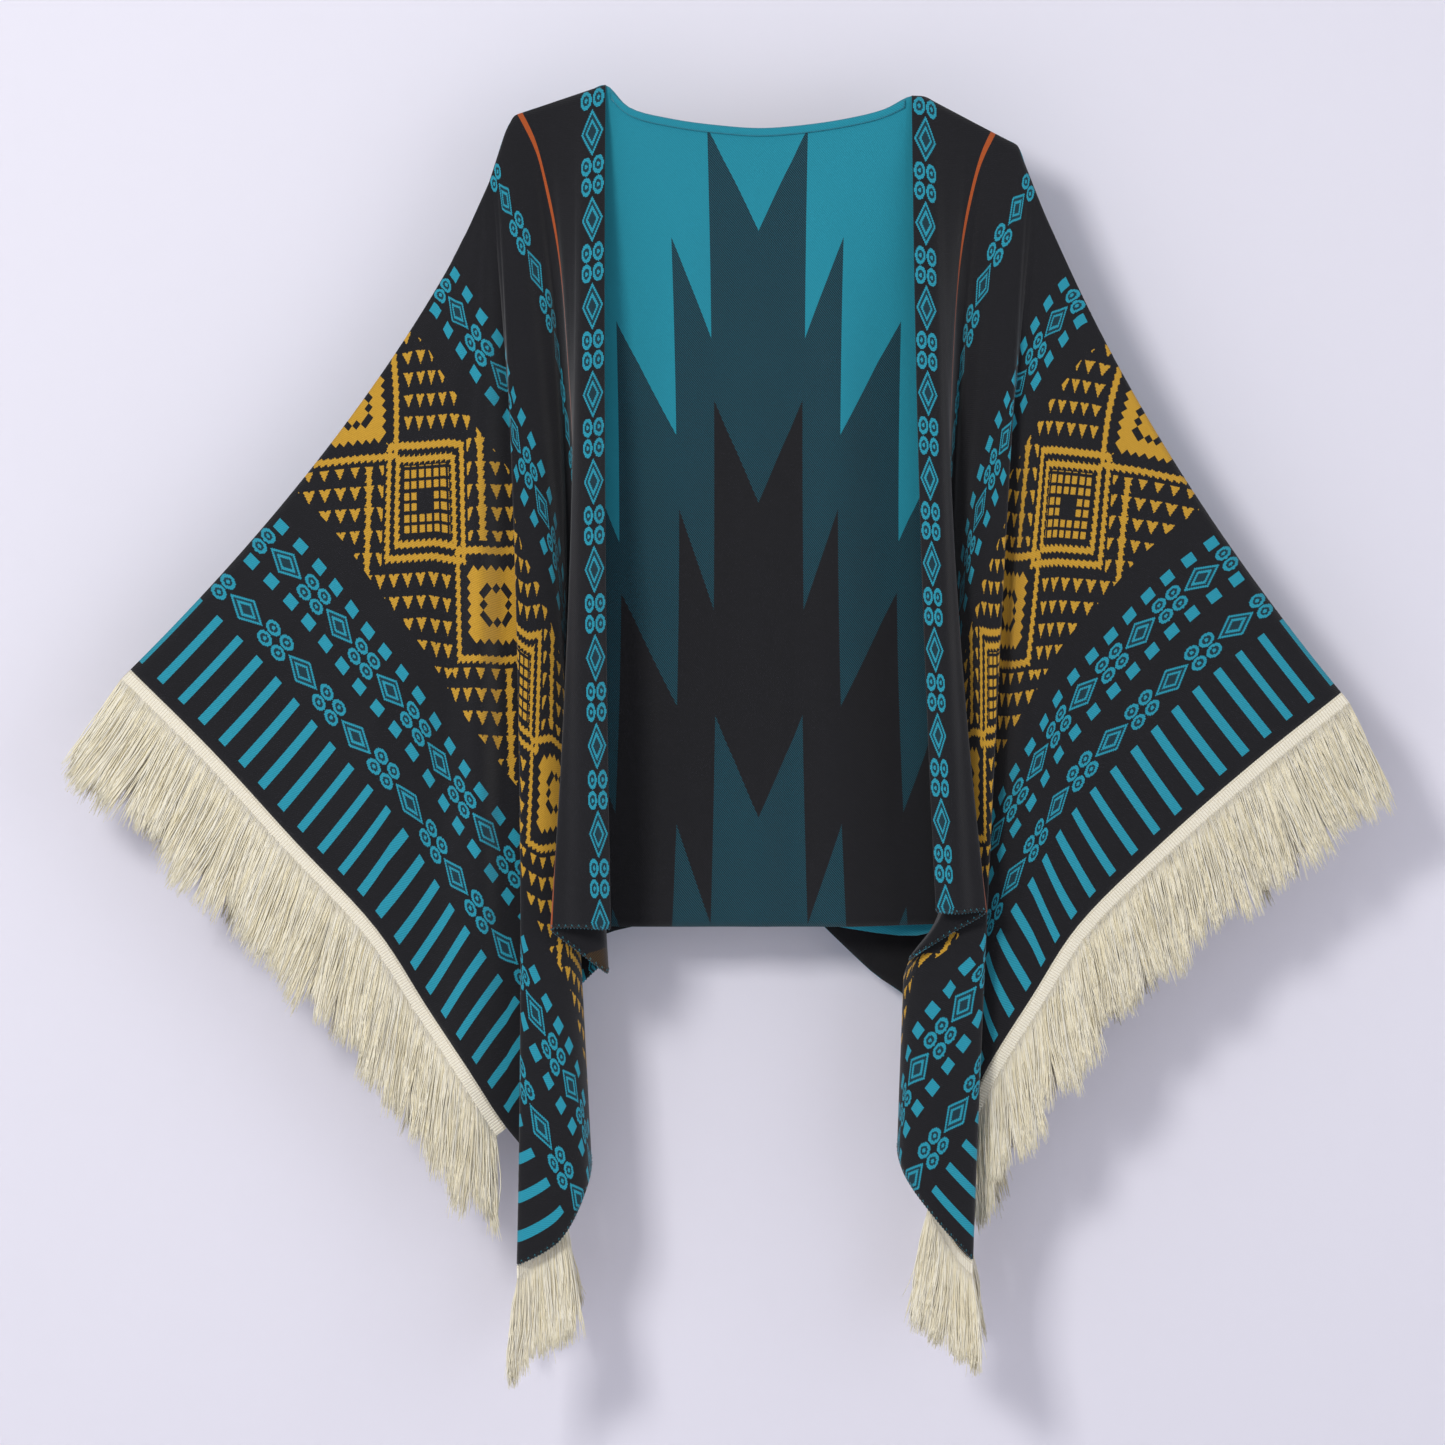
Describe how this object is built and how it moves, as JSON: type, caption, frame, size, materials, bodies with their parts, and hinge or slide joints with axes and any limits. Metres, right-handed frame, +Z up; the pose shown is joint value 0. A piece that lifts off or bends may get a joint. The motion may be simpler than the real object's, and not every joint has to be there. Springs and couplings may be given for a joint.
{
  "type": "open-front fringed poncho (ruana)",
  "caption": "Open-front woven poncho hanging from its shoulders, with patterned wings, a draped tail at each side and cream yarn fringe on both slanted ends.",
  "frame": {"origin": "midway between the two neck points, at shoulder height, where the garment is held", "axes": "+Z up, the garment's front faces -Y, +X to the right seen from the front"},
  "size_m": [1.0894, 0.1297, 1.0686],
  "materials": {
    "cloth": "brushed jacquard weave, black ground with teal, gold and rust figures",
    "hem": "turned teal twill hem with a line of stitches",
    "yarn": "ribbed cream tape and soft cream yarn fringe"
  },
  "bodies": {
    "root": {"back_panel": "cloth", "front_panel_left": "cloth", "front_panel_right": "cloth", "neck_hem": "hem", "fringe_left_front": "yarn", "fringe_left_back": "yarn", "fringe_right_front": "yarn", "fringe_right_back": "yarn", "tassel_left_front": "yarn", "tassel_left_back": "yarn", "tassel_right_front": "yarn", "tassel_right_back": "yarn"}
  },
  "joints": []
}
